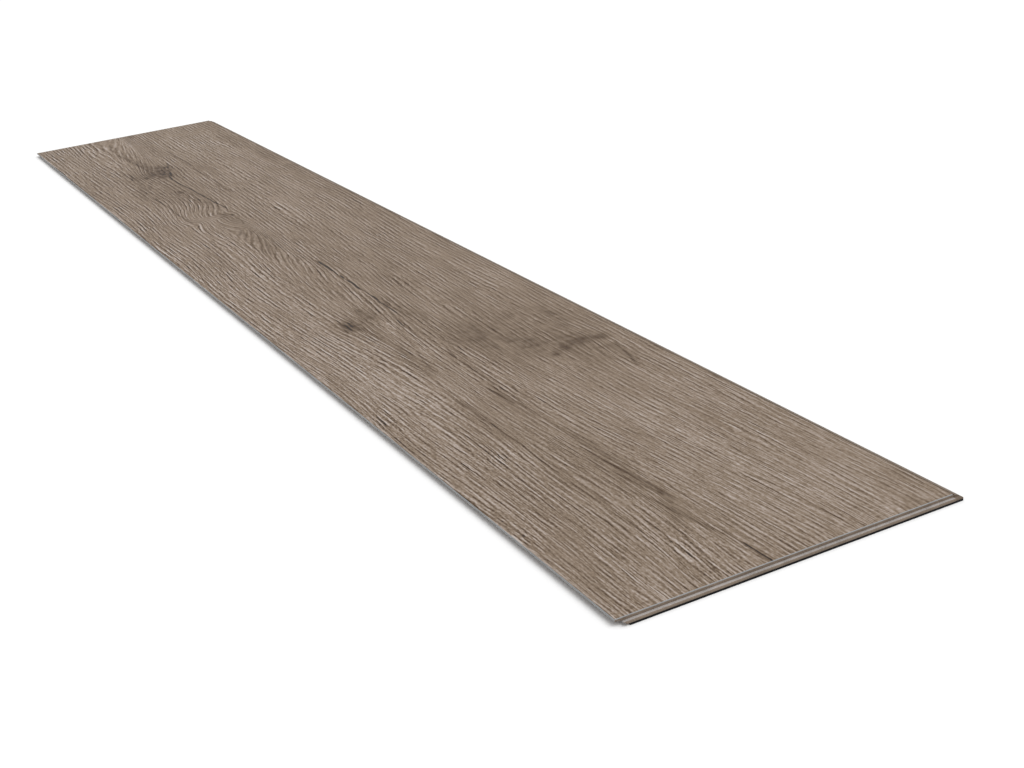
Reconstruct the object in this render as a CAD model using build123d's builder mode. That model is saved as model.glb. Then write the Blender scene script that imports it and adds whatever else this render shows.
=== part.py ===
from build123d import *
import os

# Click-jointed vinyl floor plank, lying flat with its printed face up.
# X runs across the plank, Y along it and Z up. The origin is under the middle
# of the plank, on the floor. The locking strips are on the right (+X) and near
# (-Y) edges, and the lips that drop over a neighbour's strips are on the left
# and far edges.

# Printed face, seam to seam
face_length = 1220.0
face_width = 200.0

# Layers, from the top down
wear_thickness = 0.4
core_thickness = 2.4
pad_thickness = 1.2

# Bevel round the printed face, equal in width and depth
bevel = 0.5

# Play between a lip and the strip that it covers
joint_clearance = 0.12

# Angling joint of the long edges: the strip slopes down to its tip, and a round
# rib under the lip snaps into a round channel in the strip
side_reach = 4.3
side_seam_depth = 1.0
side_tip_depth = 2.1
side_land = 1.7
side_channel_radius = 0.35
side_channel_centre = 0.85
side_wall_lean = 0.6
side_pad_setback = 1.8

# Drop joint of the short ends: a square rib under the lip drops behind a raised
# bead at the tip of the strip. At the corner, the web is the vinyl left between
# the long edge's channel and the underside of the end's lip.
end_reach = 2.4
end_channel_width = 1.0
end_bead_height = 0.2
end_bead_slope = 0.3
end_corner_web = 0.13
end_tip_chamfer = 0.4
end_pad_setback = 0.8

# The cutters run this far past the blank
cutter_overrun = 5.0

# Sizes worked out from the ones above
vinyl_thickness = wear_thickness + core_thickness
total_thickness = vinyl_thickness + pad_thickness
blank_width = face_width + side_reach
blank_length = face_length + end_reach
left_seam = -blank_width / 2
right_seam = left_seam + face_width
far_seam = blank_length / 2
near_seam = far_seam - face_length
side_channel_depth = side_seam_depth + side_channel_radius
end_bead_depth = side_channel_depth + end_corner_web + joint_clearance
end_channel_depth = end_bead_depth + end_bead_height

# Each cutter outline is a list of (distance from the seam, depth below the face).
# The distance grows outward over a strip and inward under a lip, so that a lip
# fits the strip of the next plank where both distances are equal.
side_strip_cut = [
    (0, -cutter_overrun),
    (0, side_seam_depth),
    (side_land, side_seam_depth),
    (side_reach, side_tip_depth),
    (side_reach + cutter_overrun, side_tip_depth),
    (side_reach + cutter_overrun, -cutter_overrun),
]
side_wall_top = side_reach + joint_clearance
side_wall_foot = side_wall_top + side_wall_lean
side_pad_edge = side_wall_foot + side_pad_setback
side_lip_cut = [
    (-cutter_overrun, side_seam_depth - joint_clearance),
    (side_land, side_seam_depth - joint_clearance),
    (side_wall_top, side_tip_depth - joint_clearance),
    (side_wall_foot, vinyl_thickness),
    (side_pad_edge, vinyl_thickness),
    (side_pad_edge, total_thickness + cutter_overrun),
    (-cutter_overrun, total_thickness + cutter_overrun),
]
end_bead_start = end_channel_width + end_bead_slope
end_strip_cut = [
    (0, -cutter_overrun),
    (0, end_channel_depth),
    (end_channel_width, end_channel_depth),
    (end_bead_start, end_bead_depth),
    (end_reach - end_tip_chamfer, end_bead_depth),
    (end_reach, end_bead_depth + end_tip_chamfer),
    (end_reach + cutter_overrun, end_bead_depth + end_tip_chamfer),
    (end_reach + cutter_overrun, -cutter_overrun),
]
end_wall = end_reach + joint_clearance
end_pad_edge = end_wall + end_pad_setback
end_lip_cut = [
    (-cutter_overrun, end_channel_depth - joint_clearance),
    (end_channel_width - joint_clearance, end_channel_depth - joint_clearance),
    (end_bead_start - joint_clearance, end_bead_depth - joint_clearance),
    (end_wall, end_bead_depth - joint_clearance),
    (end_wall, vinyl_thickness),
    (end_pad_edge, vinyl_thickness),
    (end_pad_edge, total_thickness + cutter_overrun),
    (-cutter_overrun, total_thickness + cutter_overrun),
]


def across(seam, outline):
    """Outline of a long edge's cutter, in the X-Z section."""
    return [(seam + reach, total_thickness - depth) for reach, depth in outline]


def along(seam, outline):
    """Outline of a short end's cutter, in the Y-Z section."""
    return [(seam - reach, total_thickness - depth) for reach, depth in outline]


# What the cutters take away: the bevel, then the four edges
with BuildPart() as waste:
    with BuildSketch(Plane.XY.offset(total_thickness - bevel)):
        Rectangle(blank_width + 2 * cutter_overrun, blank_length + 2 * cutter_overrun)
    extrude(amount=bevel)
    with BuildSketch(Plane.XY.offset(total_thickness - bevel)):
        with Locations(((left_seam + right_seam) / 2, (near_seam + far_seam) / 2)):
            Rectangle(face_width, face_length)
    extrude(amount=bevel, taper=45, mode=Mode.SUBTRACT)

    with BuildSketch(Plane.XZ) as long_edges:
        with BuildLine():
            Polyline(*across(right_seam, side_strip_cut), close=True)
        make_face()
        with Locations((right_seam + side_channel_centre, total_thickness - side_seam_depth)):
            Circle(side_channel_radius)
        with BuildLine():
            Polyline(*across(left_seam, side_lip_cut), close=True)
        make_face()
        with Locations((left_seam + side_channel_centre, total_thickness - side_seam_depth)):
            Circle(side_channel_radius - joint_clearance, mode=Mode.SUBTRACT)
    extrude(amount=blank_length / 2 + cutter_overrun, both=True)

    with BuildSketch(Plane.YZ) as short_ends:
        with BuildLine():
            Polyline(*along(near_seam, end_strip_cut), close=True)
        make_face()
        with BuildLine():
            Polyline(*along(far_seam, end_lip_cut), close=True)
        make_face()
    extrude(amount=blank_width / 2 + cutter_overrun, both=True)

# Black foam pad, glued under the core and under both strips
with BuildPart() as backing_pad:
    with BuildSketch(Plane.XY):
        Rectangle(blank_width, blank_length)
    extrude(amount=pad_thickness)
    add(waste.part, mode=Mode.SUBTRACT)
backing_pad.part.label = "backing_pad"

# Grey rigid vinyl core, which carries the whole joint
with BuildPart() as vinyl_core:
    with BuildSketch(Plane.XY.offset(pad_thickness)):
        Rectangle(blank_width, blank_length)
    extrude(amount=core_thickness)
    add(waste.part, mode=Mode.SUBTRACT)
vinyl_core.part.label = "vinyl_core"

# Printed wood film under a clear wear coat, pressed onto the core
with BuildPart() as wear_layer:
    with BuildSketch(Plane.XY.offset(pad_thickness + core_thickness)):
        Rectangle(blank_width, blank_length)
    extrude(amount=wear_thickness)
    add(waste.part, mode=Mode.SUBTRACT)
wear_layer.part.label = "wear_layer"

os.makedirs("parts", exist_ok=True)
export_step(backing_pad.part, "parts/backing_pad.step")
export_step(vinyl_core.part, "parts/vinyl_core.step")
export_step(wear_layer.part, "parts/wear_layer.step")
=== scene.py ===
"""Looks of a wood-effect click vinyl floor plank, laid out as an add-on and run as a script.

The plank lies on the floor with its printed face up. The printed face is a relief mesh that
stands for the film. The milled core and the foam pad keep the frame's own solids and get
materials.
"""

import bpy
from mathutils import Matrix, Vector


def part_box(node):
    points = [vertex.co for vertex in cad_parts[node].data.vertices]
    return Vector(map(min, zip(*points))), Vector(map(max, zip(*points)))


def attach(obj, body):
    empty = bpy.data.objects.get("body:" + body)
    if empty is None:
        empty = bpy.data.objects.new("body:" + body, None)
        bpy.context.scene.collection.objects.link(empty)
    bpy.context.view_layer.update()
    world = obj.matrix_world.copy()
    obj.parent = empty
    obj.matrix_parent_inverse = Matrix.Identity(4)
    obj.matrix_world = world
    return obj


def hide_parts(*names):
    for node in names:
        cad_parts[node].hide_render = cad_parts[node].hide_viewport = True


bl_info = {
    "name": "Vinyl floor plank",
    "version": (1, 0, 0),
    "blender": (4, 5, 0),
    "location": "3D View > Sidebar > Plank",
    "description": "Printed face, milled core, foam pad and studio of a click vinyl floor plank",
    "category": "Object",
}

from math import radians

import bpy
import numpy as np
from bpy.props import FloatProperty, FloatVectorProperty, IntProperty, PointerProperty
from bpy.types import Operator, Panel, PropertyGroup

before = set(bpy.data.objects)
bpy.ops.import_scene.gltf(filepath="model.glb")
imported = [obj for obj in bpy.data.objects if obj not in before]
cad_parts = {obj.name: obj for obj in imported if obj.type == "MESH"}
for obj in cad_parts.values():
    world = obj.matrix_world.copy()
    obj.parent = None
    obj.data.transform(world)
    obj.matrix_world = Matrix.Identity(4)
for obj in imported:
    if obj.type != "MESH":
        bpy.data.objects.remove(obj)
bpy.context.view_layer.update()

MM = 0.001
FACE_LOW, FACE_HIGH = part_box("wear_layer")

# Points this near to the face's highest point are on its flat top
TOP_WITHIN = 0.01 * MM


def face_crest():
    """Lowest and highest corners of the flat top of the face, inside the bevel, read from the frame."""
    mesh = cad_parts["wear_layer"].data
    co = np.empty(len(mesh.vertices) * 3)
    mesh.vertices.foreach_get("co", co)
    co = co.reshape(-1, 3)
    top = co[co[:, 2] > FACE_HIGH.z - TOP_WITHIN]
    return top.min(0), top.max(0)


CREST_LOW, CREST_HIGH = face_crest()

# The wood figure is laid out in millimetres on the face. "Along" is measured from the far end
# towards the near end, and "across" from the right edge towards the left one.

# Middle of the board, across. The combed lines are counted from it.
MIDDLE = 100

# Spacing of the combed lines: at the far end, what it loses with each millimetre along, and its mean
FAR_PITCH = 3.75
PITCH_LOSS = 0.0004
MEAN_PITCH = 3.5

# Densities of the combed lines, of which 1 is usual, past which they stand loose or crowd, and how
# far below the first one they are wholly loose
LOOSE = 0.75
WHOLLY_LOOSE = 0.5
CROWDED = 1.7

# Length of the board over which one lay of the fibres is followed, and the shares of that length
# from its middle between which the next one takes over
WINDOW = 180.0
HANDOVER = (0.17, 0.33)

# The mesh's columns crowd round the heart: place across, half width, and how far they are drawn in
CROWD_ACROSS = 120 * MM
CROWD_HALF_WIDTH = 26 * MM
CROWD_PULL = 20 * MM

# The heart line, where the fibres of the two halves meet: along, across
HEART_LINE = (
    (0, 109),
    (60, 110),
    (200, 116),
    (420, 117),
    (560, 117),
    (640, 116),
    (900, 120),
    (1220, 118),
)

# Where the heart of the board dips under the face, so that the rings cross it in arcs: start,
# deepest point and end along the heart line, depth, and how far the arcs reach to either side
HEART_DIPS = (
    (-260, -40, 200, 30, 8, 25),
    (440, 476, 660, 13, 8, 13),
)

# Depth of the heart at which the combed lines have mostly closed up
CLOSING_DEPTH = 6.0

# How the place of the rings bends beside the heart line: less by the square of the distance on its
# left, and more by the distance on its right
RING_CURVE = 0.34
RING_SLOPE = 1.2

# Slant of the fibres: along, across, half length, half width, slope across the board
SLANTS = (
    (300, 40, 420, 75, 0.018),
    (550, 35, 70, 40, 0.025),
    (650, 85, 170, 45, 0.055),
    (700, 118, 180, 14, 0.070),
    (40, 120, 60, 12, 0.050),
    (200, 105, 60, 14, 0.030),
    (30, 150, 60, 34, 0.040),
    (250, 170, 60, 50, -0.022),
    (480, 165, 34, 34, -0.070),
    (395, 152, 45, 40, 0.110),
    (550, 160, 120, 45, 0.040),
    (800, 160, 80, 32, -0.075),
    (1110, 95, 150, 30, -0.060),
    (1050, 40, 160, 60, -0.028),
    (1190, 146, 50, 22, 0.085),
)

# Figures that push the fibres aside: along, across, half length before and after,
# half width, push towards the left edge, spread of the fibres
FIGURES = (
    (207, 120, 26, 22, 15, 2.0, 0.25),
    (307, 127, 10, 10, 5, 0.0, 0.5),
    (411, 136, 44, 8, 22, 10.0, 0.0),
    (427, 148, 14, 24, 9, -3.0, 0.4),
    (421, 112, 7, 9, 4, 0.0, 0.5),
    (775, 145, 16, 16, 9, 0.0, 0.45),
    (905, 36, 24, 24, 20, -2.0, 0.15),
    (1139, 114, 9, 12, 5, 0.0, 0.5),
)

# Dark patches of the print: along, across, half length, half width, depth of tone
STAINS = (
    # Far end of the heart
    (8, 95, 12, 4, 0.14),
    (60, 93, 44, 3, 0.07),
    (103, 96, 5, 1.5, 0.16),
    (138, 127, 24, 3, 0.10),
    (160, 122, 24, 3.5, 0.12),
    # Far knot, with the shade round it
    (183, 113, 7, 4, 0.12),
    (187, 109, 6, 7, 0.20),
    (203, 116, 15, 6, 0.20),
    (202, 115, 34, 15, 0.09),
    (206, 146, 22, 2.5, 0.12),
    (212, 130, 12, 5, 0.14),
    (218, 136, 8, 1.8, 0.26),
    (220, 121, 13, 7, 0.25),
    # Heart between the far knot and the middle of the board
    (305, 126, 8, 3.2, 0.24),
    (345, 112, 34, 3, 0.06),
    (362, 118, 14, 4, 0.12),
    (419, 118, 7, 4, 0.16),
    (446, 118, 22, 4, 0.08),
    (493, 120, 20, 6, 0.06),
    (520, 124, 40, 7, 0.05),
    (541, 97, 8, 4, 0.08),
    # Middle knot and its tail
    (748, 126, 5, 2, 0.14),
    (763, 124, 12, 5, 0.20),
    (775, 143, 15, 9.5, 0.17),
    (778, 145, 8, 4, 0.10),
    (782, 139, 6, 3, 0.20),
    (806, 135, 11, 4, 0.15),
    (850, 134, 34, 3.2, 0.11),
    # Ladder of dark rungs towards the right edge, with the shade beside it
    (840, 36, 26, 18, 0.06),
    (848, 84, 20, 8, 0.06),
    (850, 22, 14, 3.5, 0.13),
    (858, 8, 1.6, 10, 0.10),
    (868, 20, 6, 4, 0.08),
    (868, 66, 58, 36, 0.10),
    (878, 68, 6, 5, 0.13),
    (885, 84, 10, 4, 0.06),
    (886, 60, 6, 5, 0.18),
    (894, 68, 5, 4, 0.15),
    (895, 42, 2.2, 26, 0.11),
    (902, 62, 10, 5, 0.10),
    (907, 34, 6, 10, 0.24),
    (910, 20, 6, 7, 0.24),
    (912, 47, 7, 8, 0.22),
    (919, 59, 4, 5, 0.20),
    (928, 26, 3, 9, 0.12),
    (940, 22, 14, 3, 0.10),
    # Near end of the heart
    (955, 118, 9, 3, 0.10),
    (975, 120, 40, 7, 0.07),
    (1102, 115, 46, 6, 0.07),
    (1110, 124, 60, 8, 0.04),
    (1132, 113.5, 13, 3.0, 0.12),
    (1149, 119, 15, 3.4, 0.12),
    (1158, 124, 12, 2, 0.12),
    (1176, 117, 14, 2, 0.10),
    # Broad shades
    (8, 2, 18, 12, 0.07),
    (130, 192, 240, 20, 0.022),
    (190, 127, 180, 14, 0.04),
    (220, 12, 230, 9, 0.05),
    (235, 108, 70, 12, 0.05),
    (240, 68, 40, 12, 0.03),
    (240, 74, 50, 8, 0.05),
    (255, 150, 55, 20, 0.09),
    (280, 138, 60, 12, 0.05),
    (295, 160, 26, 6, 0.05),
    (330, 4, 230, 14, 0.04),
    (340, 120, 80, 9, 0.06),
    (500, 20, 30, 9, 0.06),
    (570, 88, 90, 28, 0.028),
    (670, 120, 60, 10, 0.04),
    (690, 66, 90, 14, 0.05),
    (765, 98, 36, 9, 0.07),
    (780, 98, 60, 14, 0.03),
    (1090, 146, 90, 6, 0.03),
    (1160, 190, 70, 14, 0.03),
)

# Deepest tone that stains laid over each other come to
STAIN_LIMIT = 0.25

# Pale patches of the print, in the same terms
PALE = (
    # Along the heart
    (30, 108, 14, 5, 0.09),
    (55, 109, 8, 5, 0.10),
    (434, 148, 14, 8, 0.06),
    (573, 116, 10, 4, 0.06),
    (612, 115, 10, 5, 0.08),
    (800, 121, 18, 5, 0.10),
    (850, 119, 18, 4, 0.08),
    (1100, 104, 30, 8, 0.04),
    (1165, 122, 26, 5, 0.05),
    (1180, 134, 20, 10, 0.05),
    # Broad glows
    (60, 148, 34, 12, 0.06),
    (150, 30, 90, 24, 0.03),
    (400, 50, 120, 30, 0.02),
    (610, 166, 80, 18, 0.03),
    (640, 148, 80, 10, 0.03),
    (820, 177, 220, 26, 0.033),
    (860, 166, 90, 18, 0.05),
    (880, 160, 60, 16, 0.02),
    (940, 165, 50, 20, 0.03),
    (1000, 8, 60, 8, 0.04),
    (1090, 50, 130, 52, 0.045),
    (1220, 100, 110, 300, 0.043),
)

# How a dark line wavers across the board, from side to side, and over what length its ends fade
LINE_WAVER = 1.4
LINE_FADE = 8

# Dark lines: start, end, across at the start and at the end, half width, strength, share drawn
LINES = (
    # Cracks along the heart
    (608, 776, 104.4, 105.6, 0.42, 0.58, 0.92),
    (610, 752, 104.4, 105.2, 0.66, 0.95, 0.45),
    (782, 808, 111.2, 114.0, 0.42, 0.80, 1.00),
    (1172, 1228, 113.4, 112.1, 0.40, 0.40, 1.00),
    (1192, 1228, 112.8, 112.1, 0.42, 0.85, 0.95),
    # Darker fibres
    (224, 252, 114.4, 117.4, 0.60, 0.75, 0.95),
    (246, 400, 117.4, 109.6, 0.60, 0.60, 0.80),
    (166, 236, 100.0, 114.5, 1.00, 0.26, 1.00),
    (110, 345, 84.0, 86.5, 0.80, 0.30, 0.85),
    (436, 520, 79.5, 77.0, 0.80, 0.24, 0.80),
    (85, 215, 131.0, 125.0, 1.20, 0.18, 0.80),
    (188, 222, 142.5, 151.0, 0.90, 0.24, 0.80),
    (300, 436, 152.0, 151.0, 0.90, 0.26, 0.90),
    (424, 500, 110.0, 120.0, 0.70, 0.24, 0.80),
    (415, 427, 112.0, 112.4, 1.20, 0.60, 1.00),
    (864, 884, 109.8, 112.4, 0.80, 0.42, 1.00),
    (884, 1000, 112.4, 114.5, 0.90, 0.22, 0.85),
    (792, 900, 118.0, 135.0, 0.80, 0.16, 0.75),
    (800, 905, 148.0, 137.5, 0.90, 0.18, 0.80),
    (940, 1165, 143.0, 145.0, 1.10, 0.15, 0.80),
    (922, 972, 17.0, 27.5, 0.90, 0.28, 0.90),
    (1072, 1138, 125.0, 112.0, 0.80, 0.18, 0.85),
    (1116, 1192, 124.5, 113.3, 1.30, 0.15, 0.95),
    (936, 1002, 119.8, 115.0, 1.00, 0.18, 0.95),
    (990, 1082, 115.2, 111.8, 1.20, 0.16, 0.90),
    (1056, 1132, 118.2, 111.4, 0.80, 0.24, 0.85),
    (905, 1064, 140.6, 144.2, 0.80, 0.24, 0.85),
    (1012, 1060, 112.8, 109.4, 0.70, 0.20, 0.80),
    (1152, 1196, 124.0, 127.5, 0.70, 0.22, 0.80),
    (1150, 1220, 127.5, 139.0, 0.80, 0.20, 0.85),
    (1160, 1206, 119.0, 119.5, 0.70, 0.18, 0.75),
    (1118, 1146, 112.5, 115.0, 0.80, 0.26, 0.70),
    # Broken rings of the middle knot
    (755, 778, 138.5, 140.0, 0.60, 0.26, 0.65),
    (759, 784, 141.6, 143.2, 0.65, 0.38, 0.70),
    (763, 788, 145.0, 146.2, 0.70, 0.42, 0.70),
    (766, 790, 148.6, 149.4, 0.60, 0.30, 0.65),
    (790, 830, 146.0, 141.0, 0.80, 0.20, 0.75),
)


def swell(position, centre, half_length):
    """A smooth rise from 0 to 1 and back: e to the minus square of the distance over the half length."""
    return np.exp(-(((position - centre) / half_length) ** 2))


def smooth(share):
    """A share kept between 0 and 1 and eased at both ends: three squares less two cubes."""
    share = share.clip(0, 1)
    return share * share * (3 - 2 * share)


def lattice_noise(u, v, seed):
    """Random heights on a square lattice, joined by smooth steps: values from 0 to 1."""
    size = 512
    table = np.random.default_rng(seed).random((size, size))
    iu, iv = np.floor(u).astype(int), np.floor(v).astype(int)
    fu, fv = smooth(u - iu), smooth(v - iv)
    low = table[iu % size, iv % size] * (1 - fu) + table[(iu + 1) % size, iv % size] * fu
    high = table[iu % size, (iv + 1) % size] * (1 - fu) + table[(iu + 1) % size, (iv + 1) % size] * fu
    return low * (1 - fv) + high * fv


def slanted(along, across):
    """How far the fibres have moved across the board, from its middle: a tanh along it for each slant."""
    moved = np.zeros_like(across)
    for at, over, half_length, half_width, slope in SLANTS:
        moved += slope * half_length * np.tanh((along - at) / half_length) * swell(across, over, half_width)
    return moved


def comb_number(fibre, along):
    """Number of the combed line at a fibre: its place over the spacing of the lines.

    Slow noise lets it wander by one line or so, and finer noise does so towards the near end.
    """
    pitch = FAR_PITCH - PITCH_LOSS * along
    wander = 1.2 * lattice_noise(fibre / 16, along / 110, 23)
    return (fibre - MIDDLE) / pitch + wander + 0.0005 * along * lattice_noise(fibre / 6, along / 90, 25)


def pushed_aside(along, across):
    """Distance across the board, as the fibres count it: two noises and then the figures shift it.

    Each figure is a swell along and across. It takes off its push, and its spread times the
    distance from its own middle.
    """
    shifted = across + 3.0 * (lattice_noise(along / 190, across / 70, 5) - 0.5)
    shifted = shifted + 0.9 * (lattice_noise(along / 60, across / 26, 6) - 0.5)
    for at, over, before, after, half_width, push, spread in FIGURES:
        reach = np.where(along < at, before, after)
        figure = swell(along, at, reach) * swell(across, over, half_width)
        shifted = shifted - (push + spread * (across - over)) * figure
    return shifted


def heart_depth(along, side):
    """Depth of the heart under the face: straight ramps along it, times a swell to either side."""
    depth = np.zeros_like(side)
    for start, deepest, end, dip, right_reach, left_reach in HEART_DIPS:
        ramp = np.minimum((along - start) / (deepest - start), (end - along) / (end - deepest)).clip(0, 1)
        depth = depth + dip * ramp * swell(side, 0, np.where(side < 0, right_reach, left_reach))
    return depth


def fibre_field(along, across):
    """Comb numbers of two overlapping windows, the share of the second one, closing, and ring place.

    Where the heart dips, its depth is added to the distance across, so that the fibres cross the
    heart line in arcs. The slants move the fibres, counted from the middle of the window, and the
    windows hand over to each other half-way between their middles. Closing is the tanh of the
    heart's depth. The ring place is the distance along the board, bent on both sides of the heart line.
    """
    places, line = np.array(HEART_LINE, float).T
    side = across - np.interp(along, places, line)
    depth = heart_depth(along, side)
    sunk = pushed_aside(along, across) + depth - slanted(along, across)
    combs = []
    for shift in (0.0, 0.5):
        middle = WINDOW * (np.round(along / WINDOW - shift) + shift)
        combs.append(comb_number(sunk + slanted(middle, across), along))
    apart = np.abs(along / WINDOW - np.round(along / WINDOW))
    share = smooth((apart - HANDOVER[0]) / (HANDOVER[1] - HANDOVER[0]))
    ring = along - np.where(side > 0, RING_CURVE * side**2, RING_SLOPE * side)
    return combs[0], combs[1], share, np.tanh(depth / CLOSING_DEPTH), ring


def uneven_spacing(comb, along, across):
    """0 where the combed lines are evenly spaced, and more where they stand loose or crowd.

    Their density is the steepness of the comb number times the mean spacing.
    """
    density = np.hypot(*np.gradient(comb, along[:, 0], across[0])) * MEAN_PITCH
    return ((LOOSE - density) / WHOLLY_LOOSE).clip(0, 1) + (density - CROWDED).clip(0, 1)


def patch_field(along, across, patches):
    """Sum of elliptical swells, each as strong as its last number."""
    total = np.zeros_like(along)
    for at, over, half_length, half_width, strength in patches:
        total += strength * swell(along, at, half_length) * swell(across, over, half_width)
    return total


def line_field(along, across):
    """Depth of tone of the dark lines.

    Each line runs straight from its start to its end and wavers by a noise of its distance along.
    It is a swell of the distance from that path, drawn where a second noise passes a limit that
    is lower the more of the line is to show.
    """
    total = np.zeros_like(along)
    for number, (start, end, top, bottom, half_width, strength, share) in enumerate(LINES):
        row = np.full_like(along, number)
        waver = LINE_WAVER * (lattice_noise(along / 14, row, 31) - 0.5)
        path = top + (along - start) * (bottom - top) / (end - start) + waver
        drawn = ((lattice_noise(along / 7, row, 32) - (1.05 - 1.25 * share)) / 0.25).clip(0, 1)
        ends = (np.minimum(along - start, end - along) / LINE_FADE).clip(0, 1)
        total = np.maximum(total, strength * drawn * ends * swell(across, path, half_width))
    return total


def brushed_relief(comb, along, across):
    """Height of the embossing from 0 to 1.

    A ridge stands on each combed line: the cosine of the comb number, as high as noise along the
    line lets it be. Finer noise breaks it up. The relief fades to its middle where the lines turn
    across the board faster than the rows of points can follow.
    """
    ridge = np.cos(2 * np.pi * comb) * lattice_noise(comb / 1.5, along / 34, 24)
    fine = lattice_noise(comb * 2.6, along / 10 + across / 30, 22)
    turn = np.gradient(comb, axis=0)
    return 0.5 + (0.38 * ridge + 0.24 * (fine - 0.5)) * swell(turn, 0, 0.6)


def face_grid(columns, rows):
    """The face's points, as their places across it and along it.

    The rows are even. The columns are closest at the heart of the board: their number is the
    distance across plus a tanh that climbs there. The outermost ring of points is for the foot of
    the bevel.
    """
    samples = 2000
    even = np.linspace(CREST_LOW[0], CREST_HIGH[0], samples)
    count = even + CROWD_PULL * np.tanh((even - FACE_HIGH.x + CROWD_ACROSS) / CROWD_HALF_WIDTH)
    x = np.interp(np.linspace(count[0], count[-1], columns - 2), count, even)
    y = np.linspace(CREST_LOW[1], CREST_HIGH[1], rows - 2)
    x = np.concatenate(([FACE_LOW.x], x, [FACE_HIGH.x]))
    y = np.concatenate(([FACE_LOW.y], y, [FACE_HIGH.y]))
    return np.meshgrid(x, y)


def closed_sheet_faces(shape):
    """The quads of a grid, and a fan from its rim to the one point that comes after the grid's."""
    index = np.arange(shape[0] * shape[1]).reshape(shape)
    quads = np.stack((index[:-1, :-1], index[:-1, 1:], index[1:, 1:], index[1:, :-1]), -1)
    rim = np.concatenate((index[0, :-1], index[:-1, -1], index[-1, :0:-1], index[:0:-1, 0]))
    fan = np.stack((np.roll(rim, -1), rim, np.full(rim.size, index.size)), -1)
    return quads.reshape(-1, 4).tolist() + fan.tolist()


def link_mesh(name, points, faces, replaced):
    """Makes a smooth-shaded mesh object that stands for one node of the frame."""
    mesh = bpy.data.meshes.new(name)
    mesh.from_pydata(points, [], faces)
    mesh.validate()
    mesh.polygons.foreach_set("use_smooth", np.ones(len(mesh.polygons), bool))
    piece = bpy.data.objects.new(name, mesh)
    bpy.context.scene.collection.objects.link(piece)
    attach(piece, "root")
    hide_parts(replaced)
    return piece


def point_attribute(mesh, name, fields, last):
    """Stores three fields of a grid as one vector for each point, and one more for the last point."""
    vectors = np.concatenate((np.stack(fields, -1).reshape(-1, 3), [last]))
    attribute = mesh.attributes.new(name, "FLOAT_VECTOR", "POINT")
    attribute.data.foreach_set("vector", vectors.astype(np.float32).ravel())


def printed_face_mesh(columns, rows, depth):
    """The printed face with its relief and bevel, and the fields that its print is drawn from.

    Height = top of the face less the part of the depth that the relief leaves. The outermost ring
    of the grid drops to the foot of the bevel, and a fan to the middle closes the underside. The
    lines fade where they close up and where they are unevenly spaced.
    """
    gx, gy = face_grid(columns, rows)
    along, across = (FACE_HIGH.y - gy) / MM, (FACE_HIGH.x - gx) / MM
    first, second, share, closing, ring = fibre_field(along, across)
    closing = np.maximum(closing, uneven_spacing(first, along, across))
    relief = (1 - share) * brushed_relief(first, along, across)
    relief = relief + share * brushed_relief(second, along, across)
    stain = STAIN_LIMIT * np.tanh(patch_field(along, across, STAINS) / STAIN_LIMIT)
    pale = patch_field(along, across, PALE)
    mark = line_field(along, across)

    foot = np.ones(gx.shape, bool)
    foot[1:-1, 1:-1] = False
    gz = np.where(foot, FACE_LOW.z, FACE_HIGH.z - depth * (1 - relief))
    middle = [[(FACE_LOW.x + FACE_HIGH.x) / 2, (FACE_LOW.y + FACE_HIGH.y) / 2, FACE_LOW.z]]
    points = np.concatenate((np.stack((gx, gy, gz), -1).reshape(-1, 3), middle))

    faces = closed_sheet_faces(gx.shape)
    piece = link_mesh("printed_face", points.tolist(), faces, "wear_layer")
    point_attribute(piece.data, "grain", (first, second, share), (0, 0, 0))
    point_attribute(piece.data, "tone", (stain - pale, relief, foot), (0, 0, 1))
    point_attribute(piece.data, "rings", (closing, ring, mark), (0, 0, 0))
    return piece


class Signal:
    """A node socket that can be used in Python arithmetic; each operation adds a Math node."""

    def __init__(self, finish, socket):
        self.finish = finish
        self.socket = socket

    def math(self, operation, *others):
        """A Math node with this signal first, and numbers or signals after it."""
        return self.finish.node("ShaderNodeMath", {"operation": operation}, (self, *others))

    def __add__(self, other):
        return self.math("ADD", other)

    __radd__ = __add__

    def __sub__(self, other):
        return self.math("SUBTRACT", other)

    def __rsub__(self, other):
        return (-self) + other

    def __neg__(self):
        return self.math("MULTIPLY", -1.0)

    def __mul__(self, other):
        return self.math("MULTIPLY", other)

    __rmul__ = __mul__

    def __truediv__(self, other):
        return self.math("DIVIDE", other)

    def __pow__(self, other):
        return self.math("POWER", other)

    def step(self, low, high, kind="SMOOTHSTEP"):
        """A step from 0 at low to 1 at high, eased at both ends unless the kind is another."""
        inputs = (self, low, high, 0.0, 1.0)
        return self.finish.node("ShaderNodeMapRange", {"interpolation_type": kind}, inputs, "Result")

    def clamp(self):
        """Kept between 0 and 1."""
        return self.step(0.0, 1.0, "LINEAR")


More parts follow.
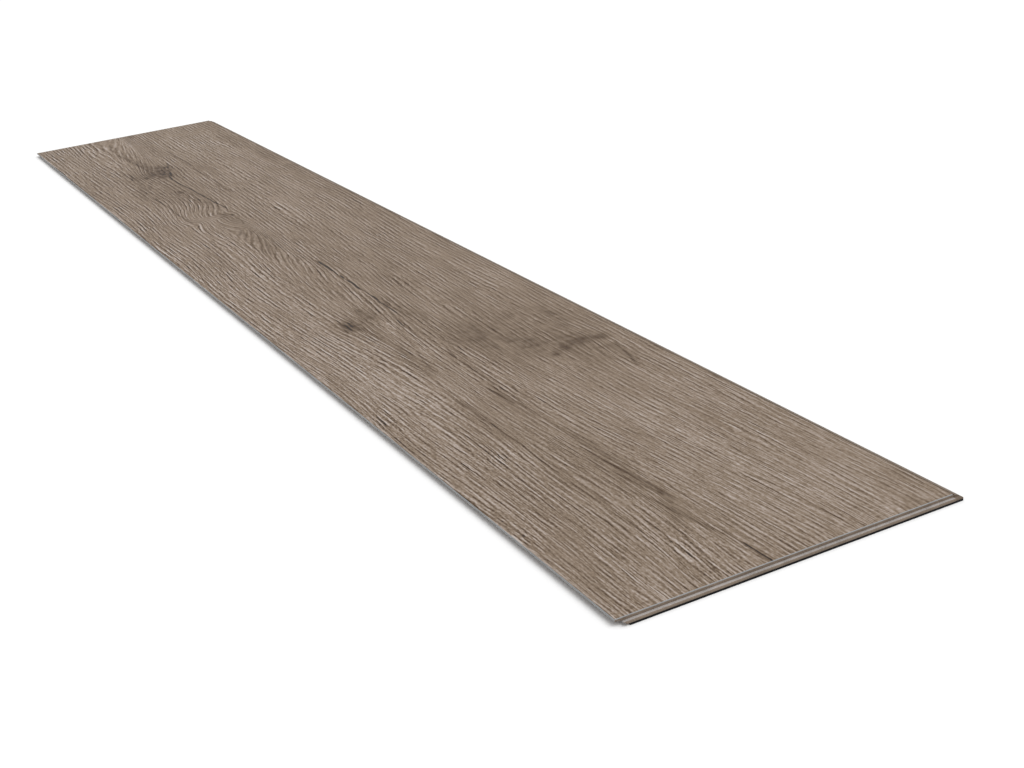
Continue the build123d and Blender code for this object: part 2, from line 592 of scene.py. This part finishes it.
class Finish:
    """A material or world under construction: adds nodes, links their sockets and feeds the shader."""

    def __init__(self, owner, shader="Principled BSDF"):
        owner.use_nodes = True
        self.owner = owner
        self.nodes = owner.node_tree.nodes
        self.links = owner.node_tree.links
        self.shader = self.nodes[shader]

    def feed(self, socket, value):
        """Links a signal to a socket, or sets the socket's own value. A colour gets full alpha."""
        if isinstance(value, Signal):
            self.links.new(value.socket, socket)
        elif socket.type == "RGBA":
            socket.default_value = (*value, 1.0)
        else:
            socket.default_value = value

    def fill_ramp(self, ramp, stops):
        """Gives a colour ramp, which starts with two elements, its stops: a position and a colour each."""
        for position, _ in stops[1:-1]:
            ramp.elements.new(position)
        for element, (position, colour) in zip(ramp.elements, stops):
            element.position = position
            element.color = (*colour, 1.0)

    def node(self, kind, settings=None, inputs=(), output=0):
        """Adds a node and gives one of its outputs.

        The settings are made first, a ramp's stops among them, and then the sockets are fed, by
        place or by name.
        """
        node = self.nodes.new(kind)
        for key, value in (settings or {}).items():
            if key == "stops":
                self.fill_ramp(node.color_ramp, value)
            else:
                setattr(node, key, value)
        pairs = inputs.items() if isinstance(inputs, dict) else enumerate(inputs)
        for key, value in pairs:
            self.feed(node.inputs[key], value)
        return Signal(self, node.outputs[output])

    def outputs(self, kind, names, inputs=()):
        """Adds a node and gives several of its outputs."""
        node = self.node(kind, None, inputs).socket.node
        return [Signal(self, node.outputs[name]) for name in names]

    def place(self):
        """The surface's own coordinates, in metres."""
        return self.node("ShaderNodeTexCoord", None, (), "Object")

    def split(self, vector):
        """The three parts of a vector signal."""
        return self.outputs("ShaderNodeSeparateXYZ", "XYZ", (vector,))

    def join(self, x, y, z=0.0):
        """One vector signal of three parts."""
        return self.node("ShaderNodeCombineXYZ", None, (x, y, z))

    def attribute(self, name):
        """The three parts of a vector that the mesh holds for each point."""
        return self.split(self.node("ShaderNodeAttribute", {"attribute_name": name}, (), "Vector"))

    def noise(self, vector, detail=2.0, roughness=0.5, scale=1.0):
        """Smooth noise about 0, from -1 to 1."""
        inputs = {"Vector": vector, "Scale": scale, "Detail": detail, "Roughness": roughness}
        return self.node("ShaderNodeTexNoise", {"normalize": False}, inputs)

    def blend(self, factor, first, second):
        """A colour between first and second. The colours are sockets 6 and 7, and the result is the third."""
        settings = {"data_type": "RGBA", "clamp_factor": True}
        return self.node("ShaderNodeMix", settings, {0: factor, 6: first, 7: second}, 2)

    def bump(self, height, distance):
        """A Bump node."""
        return self.node("ShaderNodeBump", None, {"Height": height, "Distance": distance})

    def seen(self):
        """1 for rays that show the surface, straight, reflected or let through, and 0 for other light."""
        names = ("Is Camera Ray", "Is Glossy Ray", "Is Transmission Ray")
        straight, reflected, through = self.outputs("ShaderNodeLightPath", names)
        return straight + reflected + through

    def done(self, values):
        """Feeds the shader's sockets, by name, and gives the finished material or world."""
        for name, value in values.items():
            self.feed(self.shader.inputs[name], value)
        return self.owner


class Grain:
    """Patterns of the print, laid out in millimetres on the face or in combed lines along its fibres."""

    def __init__(self, finish):
        self.finish = finish
        x, y, _ = finish.split(finish.place())
        self.along = FACE_HIGH.y / MM - y / MM
        self.across = FACE_HIGH.x / MM - x / MM
        self.first, self.second, self.share = finish.attribute("grain")
        self.crisp = ((1.0 - self.share) ** 2.0 + self.share ** 2.0) ** -0.5

    def both(self, pattern):
        """A pattern drawn along the fibres of each window and mixed by the share of the second one.

        The mix of two patterns is flatter than either, so it is scaled up where their shares are even.
        """
        under = pattern(self.first)
        return (under + self.share * (pattern(self.second) - under)) * self.crisp

    def drawn(self, width, length, seed, shift=0.0):
        """Noise drawn out along the fibres. Its width and its shift across them count in combed lines."""
        def pattern(comb):
            place = ((comb + shift) / width, self.along / length, self.across / 45.0 + seed)
            return self.finish.noise(self.finish.join(*place), 1.0)
        return self.both(pattern)

    def patchy(self, length, width, seed, detail=1.0):
        """Noise in patches of a length and a width."""
        return self.finish.noise(self.finish.join(self.along / length, self.across / width, seed), detail)

    def combed(self, comb):
        """Thin pale lines, each with a thin dark one beside it: partly print, and partly a painted highlight
        and a painted shade on the two flanks of each embossed ridge.

        The distance from the nearest line is the comb number, made wavy, less its nearest whole
        number. Two noises along each line, long and short, let it come and go.
        """
        finish, along = self.finish, self.along
        wavy = comb + 0.18 * finish.noise(finish.join(comb / 1.5, along / 8.0, 31.0), 1.0)
        line = (wavy + 0.5).math("FLOOR")
        aside = wavy - line
        run = finish.noise(finish.join(along / 42.0, line * 7.31, 33.0))
        other = finish.noise(finish.join(along / 16.0, line * 5.77, 35.0))
        pale_and_lit_line = 1.0 - aside.math("ABSOLUTE").step(0.04, 0.28)
        dark_and_shaded_line = 1.0 - (aside - 0.34).math("ABSOLUTE").step(0.03, 0.26)
        pale_and_lit_line = pale_and_lit_line * (0.70 + 0.7 * run + 0.5 * other)
        dark_and_shaded_line = dark_and_shaded_line * (0.77 + 0.8 * run + 0.7 * other)
        return pale_and_lit_line * 0.9 - dark_and_shaded_line


def printed_wood(settings):
    """Grey-brown wood print: combed lines, streaks, ticks, stains, dark lines, knots and a grey bevel. The
    pale and dark pairs of the combed lines and streaks are partly print and partly painted highlight and
    painted shade of the embossing.
    """
    finish = Finish(bpy.data.materials.new("printed_wood"))
    grain = Grain(finish)
    along, across = grain.along, grain.across
    stain, relief, foot = finish.attribute("tone")
    closing, ring, mark = finish.attribute("rings")

    comb = grain.both(grain.combed)
    # Each streak is noise less a copy shifted across the lines: a pale streak with a dark one beside it,
    # partly print and partly painted highlight and shade of the embossing
    streak = grain.drawn(0.32, 20.0, 0.0) - grain.drawn(0.32, 20.0, 0.0, 0.26)
    tick = grain.drawn(0.24, 2.4, 40.0)
    band = grain.drawn(2.4, 90.0, 60.0)
    rings = finish.noise(finish.join(ring / 6.5, across / 40.0, 15.0), 1.0)

    # The combed lines are strongest at the far left and fade towards the near end, where they
    # close up and on stains. The finer marks are strongest at the left edge.
    uneven = 1.0 + 0.5 * grain.patchy(80.0, 30.0, 7.0)
    swing = 0.202 + 0.00023 * across - (0.075 + 0.00012 * across) * (along / 1000.0) ** 2.0
    swing = swing * uneven * (1.0 - 0.6 * closing) * (1.0 - 1.2 * stain)
    strength = (0.84 + 0.0042 * across) * uneven

    # Tone of the print, from 0 in a crack to 1 in the palest fibre
    cloud = grain.patchy(75.0, 26.0, 3.0, 2.0)
    veil = grain.patchy(28.0, 9.0, 9.0)
    tone = 0.476 + 0.06 * cloud + 0.05 * veil + 0.05 * band + 0.06 * closing * rings
    tone = tone + swing * comb + strength * (0.16 * streak + 0.12 * tick + 0.06 * (relief - 0.5))
    blotch = grain.patchy(9.0, 5.0, 17.0, 2.0)
    ladder = grain.patchy(2.4, 16.0, 11.0)
    tone = tone - stain * (1.1 + 0.5 * comb + 0.9 * streak + 1.1 * blotch + 1.0 * tick + 0.4 * ladder)
    bits = grain.patchy(3.0, 1.2, 13.0).step(0.10, 0.30)
    tone = tone - 0.14 * bits * stain.step(0.16, 0.25)
    tone = tone - mark * (1.0 + 0.3 * streak)

    stops = (
        (0.0, settings.crack_colour),
        (0.12, settings.knot_colour),
        (0.26, settings.dark_grain),
        (0.50, settings.wood_colour),
        (0.80, settings.pale_grain),
        # The palest stops are reached on the pale lines and streaks: partly print, partly painted highlight
        (1.0, settings.pale_fibre_and_highlight_colour),
    )
    colour = finish.node("ShaderNodeValToRGB", {"stops": stops}, (tone.clamp(),))
    height = 0.8 * comb + 0.6 * streak + 0.4 * tick
    return finish.done({
        "Base Color": finish.blend(foot.step(0.02, 0.06), colour, settings.bevel_colour),
        "Roughness": (0.60 - 0.08 * comb).clamp(),
        "Specular IOR Level": 0.2,
        "Normal": finish.bump(height, settings.pore_depth),
    })


def cut_vinyl(settings):
    """Milled grey vinyl with filler specks and cutter marks: pale on treads, as painted light where it faces
    up, and browner and darker on upright cuts, as painted shade.
    """
    finish = Finish(bpy.data.materials.new("cut_vinyl"))
    place = finish.place()
    x, y, z = finish.split(place)
    level = finish.split(finish.node("ShaderNodeNewGeometry", None, (), "True Normal"))[2]
    specks = finish.noise(place, 3.0, 0.6, 1800.0)
    smear = finish.noise(place, 2.0, 0.5, 120.0)
    marks = finish.noise(finish.join(x * 900.0, y * 900.0, z * 9000.0), 1.0)

    # The strip past the right seam is painted dark, as painted shade under the plank's edge, and the outer
    # face of the left lip is painted pale, as painted light on a face that stands in shade
    edge = 0.2 * MM
    strip = x.step(FACE_HIGH.x - edge, FACE_HIGH.x)
    lip = 1.0 - x.step(FACE_LOW.x, FACE_LOW.x + edge)
    # Painted light and shade: faces that point up get the lit tread colour, and upright faces get the shaded
    # cut colour
    colour = finish.blend(level.step(0.75, 0.9), settings.shaded_cut_colour, settings.lit_tread_colour)
    colour = finish.blend(strip, colour, settings.shaded_strip_colour)
    colour = finish.blend(lip, colour, settings.lit_lip_colour)
    scaled = {"Vector": colour, "Scale": 1.0 + 0.35 * specks + 0.2 * smear}
    return finish.done({
        "Base Color": finish.node("ShaderNodeVectorMath", {"operation": "SCALE"}, scaled),
        "Roughness": (0.62 + 0.2 * specks).clamp(),
        "Specular IOR Level": 0.2,
        "Normal": finish.bump(specks + 0.5 * marks, 0.04 * MM),
    })


def black_foam(settings):
    """Closed-cell foam: near black, with small cells that show as bump and as lighter walls."""
    finish = Finish(bpy.data.materials.new("black_foam"))
    place = finish.place()
    inputs = {"Vector": place, "Scale": 1500.0}
    cells = finish.node("ShaderNodeTexVoronoi", {"feature": "F1"}, inputs, "Distance")
    pack = finish.noise(place, 2.0, 0.5, 260.0)
    walls = (cells * 0.9).clamp()
    return finish.done({
        "Base Color": finish.blend(walls, settings.foam_colour, settings.cell_colour),
        "Roughness": (0.82 + 0.1 * pack).clamp(),
        "Specular IOR Level": 0.15,
        "Normal": finish.bump(cells + 0.6 * pack, 0.12 * MM),
    })


def pale_floor(settings):
    """A plain matt floor, white where it is seen and a little darker to the light that bounces off it."""
    finish = Finish(bpy.data.materials.new("pale_floor"))
    return finish.done({
        "Base Color": finish.blend(finish.seen(), settings.floor_bounce, settings.floor_colour),
        "Roughness": 1.0,
        "Specular IOR Level": 0.0,
    })


def soft_sky(settings):
    """Even white light, which shows as white behind the floor."""
    finish = Finish(bpy.data.worlds.new("soft_sky"), "Background")
    level = settings.sky_level
    return finish.done({
        "Color": (1.0, 1.0, 1.0),
        "Strength": level + (1.0 - level) * finish.seen(),
    })


def colour_property(name, description, default):
    """A colour setting in linear red, green and blue."""
    return FloatVectorProperty(
        name=name, description=description, default=default, subtype="COLOR", min=0, max=1
    )


def length_property(name, description, default):
    """A length setting in metres."""
    return FloatProperty(
        name=name, description=description, default=default, min=0, unit="LENGTH", precision=5
    )


def count_property(name, description, default):
    """A number of grid points. Its limit keeps the face under 200,000 triangles."""
    return IntProperty(name=name, description=description, default=default, min=8, max=315)


class PLANK_PG_face(PropertyGroup):
    """Sizes and colours of the printed face."""

    columns: count_property("Columns", "Grid points across the face", 308)
    rows: count_property("Rows", "Grid points along the face", 312)
    relief_depth: length_property("Relief depth", "Depth of the brushed relief", 0.09 * MM)
    pore_depth: length_property("Pore depth", "Depth of the pores pressed into the wear coat", 0.1 * MM)
    wood_colour: colour_property("Wood", "Middle tone of the print", (0.228, 0.169, 0.120))
    dark_grain: colour_property("Dark grain", "Dark streaks", (0.109, 0.073, 0.046))
    pale_grain: colour_property("Pale grain", "Pale streaks", (0.400, 0.331, 0.286))
    # Palest fibres: partly print, partly painted highlight on the embossing
    pale_fibre_and_highlight_colour: colour_property("Palest grain", "Palest fibres", (0.488, 0.430, 0.391))
    knot_colour: colour_property("Knots", "Knots and the dark of the rings", (0.070, 0.040, 0.021))
    crack_colour: colour_property("Cracks", "Cracks and knot hearts", (0.020, 0.013, 0.009))
    bevel_colour: colour_property("Bevel", "Painted bevel round the face", (0.350, 0.358, 0.366))


class PLANK_PG_layers(PropertyGroup):
    """Colours of the core and the pad."""

    # Painted light: the core as lit, on faces that point up
    lit_tread_colour: colour_property("Tread", "Core where the cutter left it flat", (0.372, 0.346, 0.330))
    # Painted shade: the up-facing strip of the right edge, darkened as if shaded by the plank's edge
    shaded_strip_colour: colour_property("Long strip", "Core on the strip of the right edge", (0.165, 0.125, 0.093))
    # Painted light: the outer face of the left lip, made pale as if lit
    lit_lip_colour: colour_property("Long lip", "Core on the lip of the left edge", (0.340, 0.335, 0.330))
    # Painted shade: the core as shaded, on upright faces
    shaded_cut_colour: colour_property("Upright cut", "Core on upright cuts", (0.205, 0.158, 0.122))
    foam_colour: colour_property("Foam", "Foam in the cells", (0.005, 0.005, 0.005))
    cell_colour: colour_property("Cell walls", "Walls between the foam's cells", (0.012, 0.012, 0.012))


class PLANK_PG_studio(PropertyGroup):
    """Floor, light and camera."""

    floor_reach: FloatProperty(
        name="Floor reach", description="Half the side of the floor", default=12.0, min=1, unit="LENGTH"
    )
    floor_colour: colour_property("Floor", "Floor as the camera sees it", (1.0, 1.0, 1.0))
    floor_bounce: colour_property("Floor bounce", "Floor as the other light sees it", (0.70, 0.70, 0.70))
    sky_level: FloatProperty(name="Sky", description="Level of the even light", default=0.72, min=0, max=1)
    lamp_power: FloatProperty(name="Lamp", description="Strength of the soft lamp", default=1.25, min=0)
    lamp_spread: FloatProperty(
        name="Lamp spread", description="Angle that the lamp fills", default=radians(50), subtype="ANGLE"
    )
    lamp_place: FloatVectorProperty(
        name="Lamp place", description="Where the lamp shines from", default=(0.5, -0.9, 1.8), unit="LENGTH"
    )
    camera_place: FloatVectorProperty(
        name="Camera", description="Place of the camera", default=(-0.39393, -1.12495, 0.36547), unit="LENGTH"
    )
    camera_turn: FloatVectorProperty(
        name="Camera turn",
        description="Turn of the camera",
        default=[radians(angle) for angle in (67.5913, 5.1387, -28.1849)],
        subtype="EULER",
        unit="ROTATION",
    )
    lens: FloatProperty(
        name="Lens", description="Focal length on a 36 mm wide sensor", default=53.739, unit="CAMERA"
    )


def finish_node(node, material):
    """Gives a node of the frame its material, in every slot."""
    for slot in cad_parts[node].material_slots:
        slot.material = material


def link_object(name, data):
    """Puts a mesh, lamp or camera into the scene."""
    item = bpy.data.objects.new(name, data)
    bpy.context.scene.collection.objects.link(item)
    return item


def add_floor(settings):
    """A square floor under the plank, twice its reach wide."""
    reach = settings.floor_reach
    mesh = bpy.data.meshes.new("floor")
    corners = [(-reach, -reach, 0), (reach, -reach, 0), (reach, reach, 0), (-reach, reach, 0)]
    mesh.from_pydata(corners, [], [(0, 1, 2, 3)])
    mesh.materials.append(pale_floor(settings))
    floor = link_object("floor", mesh)


def add_lamp(settings):
    """A wide, soft lamp that shines from its place towards the middle of the plank."""
    lamp = bpy.data.lights.new("softbox", "SUN")
    lamp.energy = settings.lamp_power
    lamp.angle = settings.lamp_spread
    softbox = link_object("softbox", lamp)
    softbox.location = settings.lamp_place
    softbox.rotation_euler = softbox.location.to_track_quat("Z", "Y").to_euler()


def add_camera(settings):
    """The camera, above the near left corner."""
    lens = bpy.data.cameras.new("camera")
    lens.sensor_width = 36.0
    lens.lens = settings.lens
    camera = link_object("camera", lens)
    camera.location = settings.camera_place
    camera.rotation_euler = settings.camera_turn
    bpy.context.scene.camera = camera


class PLANK_OT_face(Operator):
    """Build the printed face and its bevel"""

    bl_idname = "plank.face"
    bl_label = "Printed face"

    def execute(self, context):
        settings = context.scene.plank_face
        piece = printed_face_mesh(settings.columns, settings.rows, settings.relief_depth)
        piece.data.materials.append(printed_wood(settings))
        return {"FINISHED"}


class PLANK_OT_core(Operator):
    """Finish the milled core"""

    bl_idname = "plank.core"
    bl_label = "Milled core"

    def execute(self, context):
        finish_node("vinyl_core", cut_vinyl(context.scene.plank_layers))
        return {"FINISHED"}


class PLANK_OT_pad(Operator):
    """Finish the foam pad"""

    bl_idname = "plank.pad"
    bl_label = "Foam pad"

    def execute(self, context):
        finish_node("backing_pad", black_foam(context.scene.plank_layers))
        return {"FINISHED"}


class PLANK_OT_studio(Operator):
    """Set the floor, the light and the camera"""

    bl_idname = "plank.studio"
    bl_label = "Studio"

    def execute(self, context):
        scene = context.scene
        settings = scene.plank_studio
        add_floor(settings)
        add_lamp(settings)
        add_camera(settings)
        scene.world = soft_sky(settings)
        scene.view_settings.view_transform = "Standard"
        return {"FINISHED"}


class PLANK_PT_sidebar(Panel):
    """The plank's pieces and settings"""

    bl_idname = "PLANK_PT_sidebar"
    bl_label = "Vinyl floor plank"
    bl_space_type = "VIEW_3D"
    bl_region_type = "UI"
    bl_category = "Plank"

    def draw(self, context):
        for group in SETTINGS:
            settings = getattr(context.scene, group)
            box = self.layout.box()
            for key in settings.bl_rna.properties.keys():
                if key not in ("rna_type", "name"):
                    box.prop(settings, key)
        for operator in OPERATORS:
            self.layout.operator(operator.bl_idname)


SETTINGS = {"plank_face": PLANK_PG_face, "plank_layers": PLANK_PG_layers, "plank_studio": PLANK_PG_studio}
OPERATORS = (PLANK_OT_face, PLANK_OT_core, PLANK_OT_pad, PLANK_OT_studio)
CLASSES = (*SETTINGS.values(), *OPERATORS, PLANK_PT_sidebar)


def register():
    """Registers the classes and hangs the settings on the scene."""
    for item in CLASSES:
        bpy.utils.register_class(item)
    for name, group in SETTINGS.items():
        setattr(bpy.types.Scene, name, PointerProperty(type=group))


def unregister():
    """Takes the settings and the classes away again."""
    for name in SETTINGS:
        delattr(bpy.types.Scene, name)
    for item in reversed(CLASSES):
        bpy.utils.unregister_class(item)


def main():
    """Builds the pieces in order."""
    register()
    bpy.ops.plank.face()
    bpy.ops.plank.core()
    bpy.ops.plank.pad()
    bpy.ops.plank.studio()


if __name__ == "__main__":
    main()
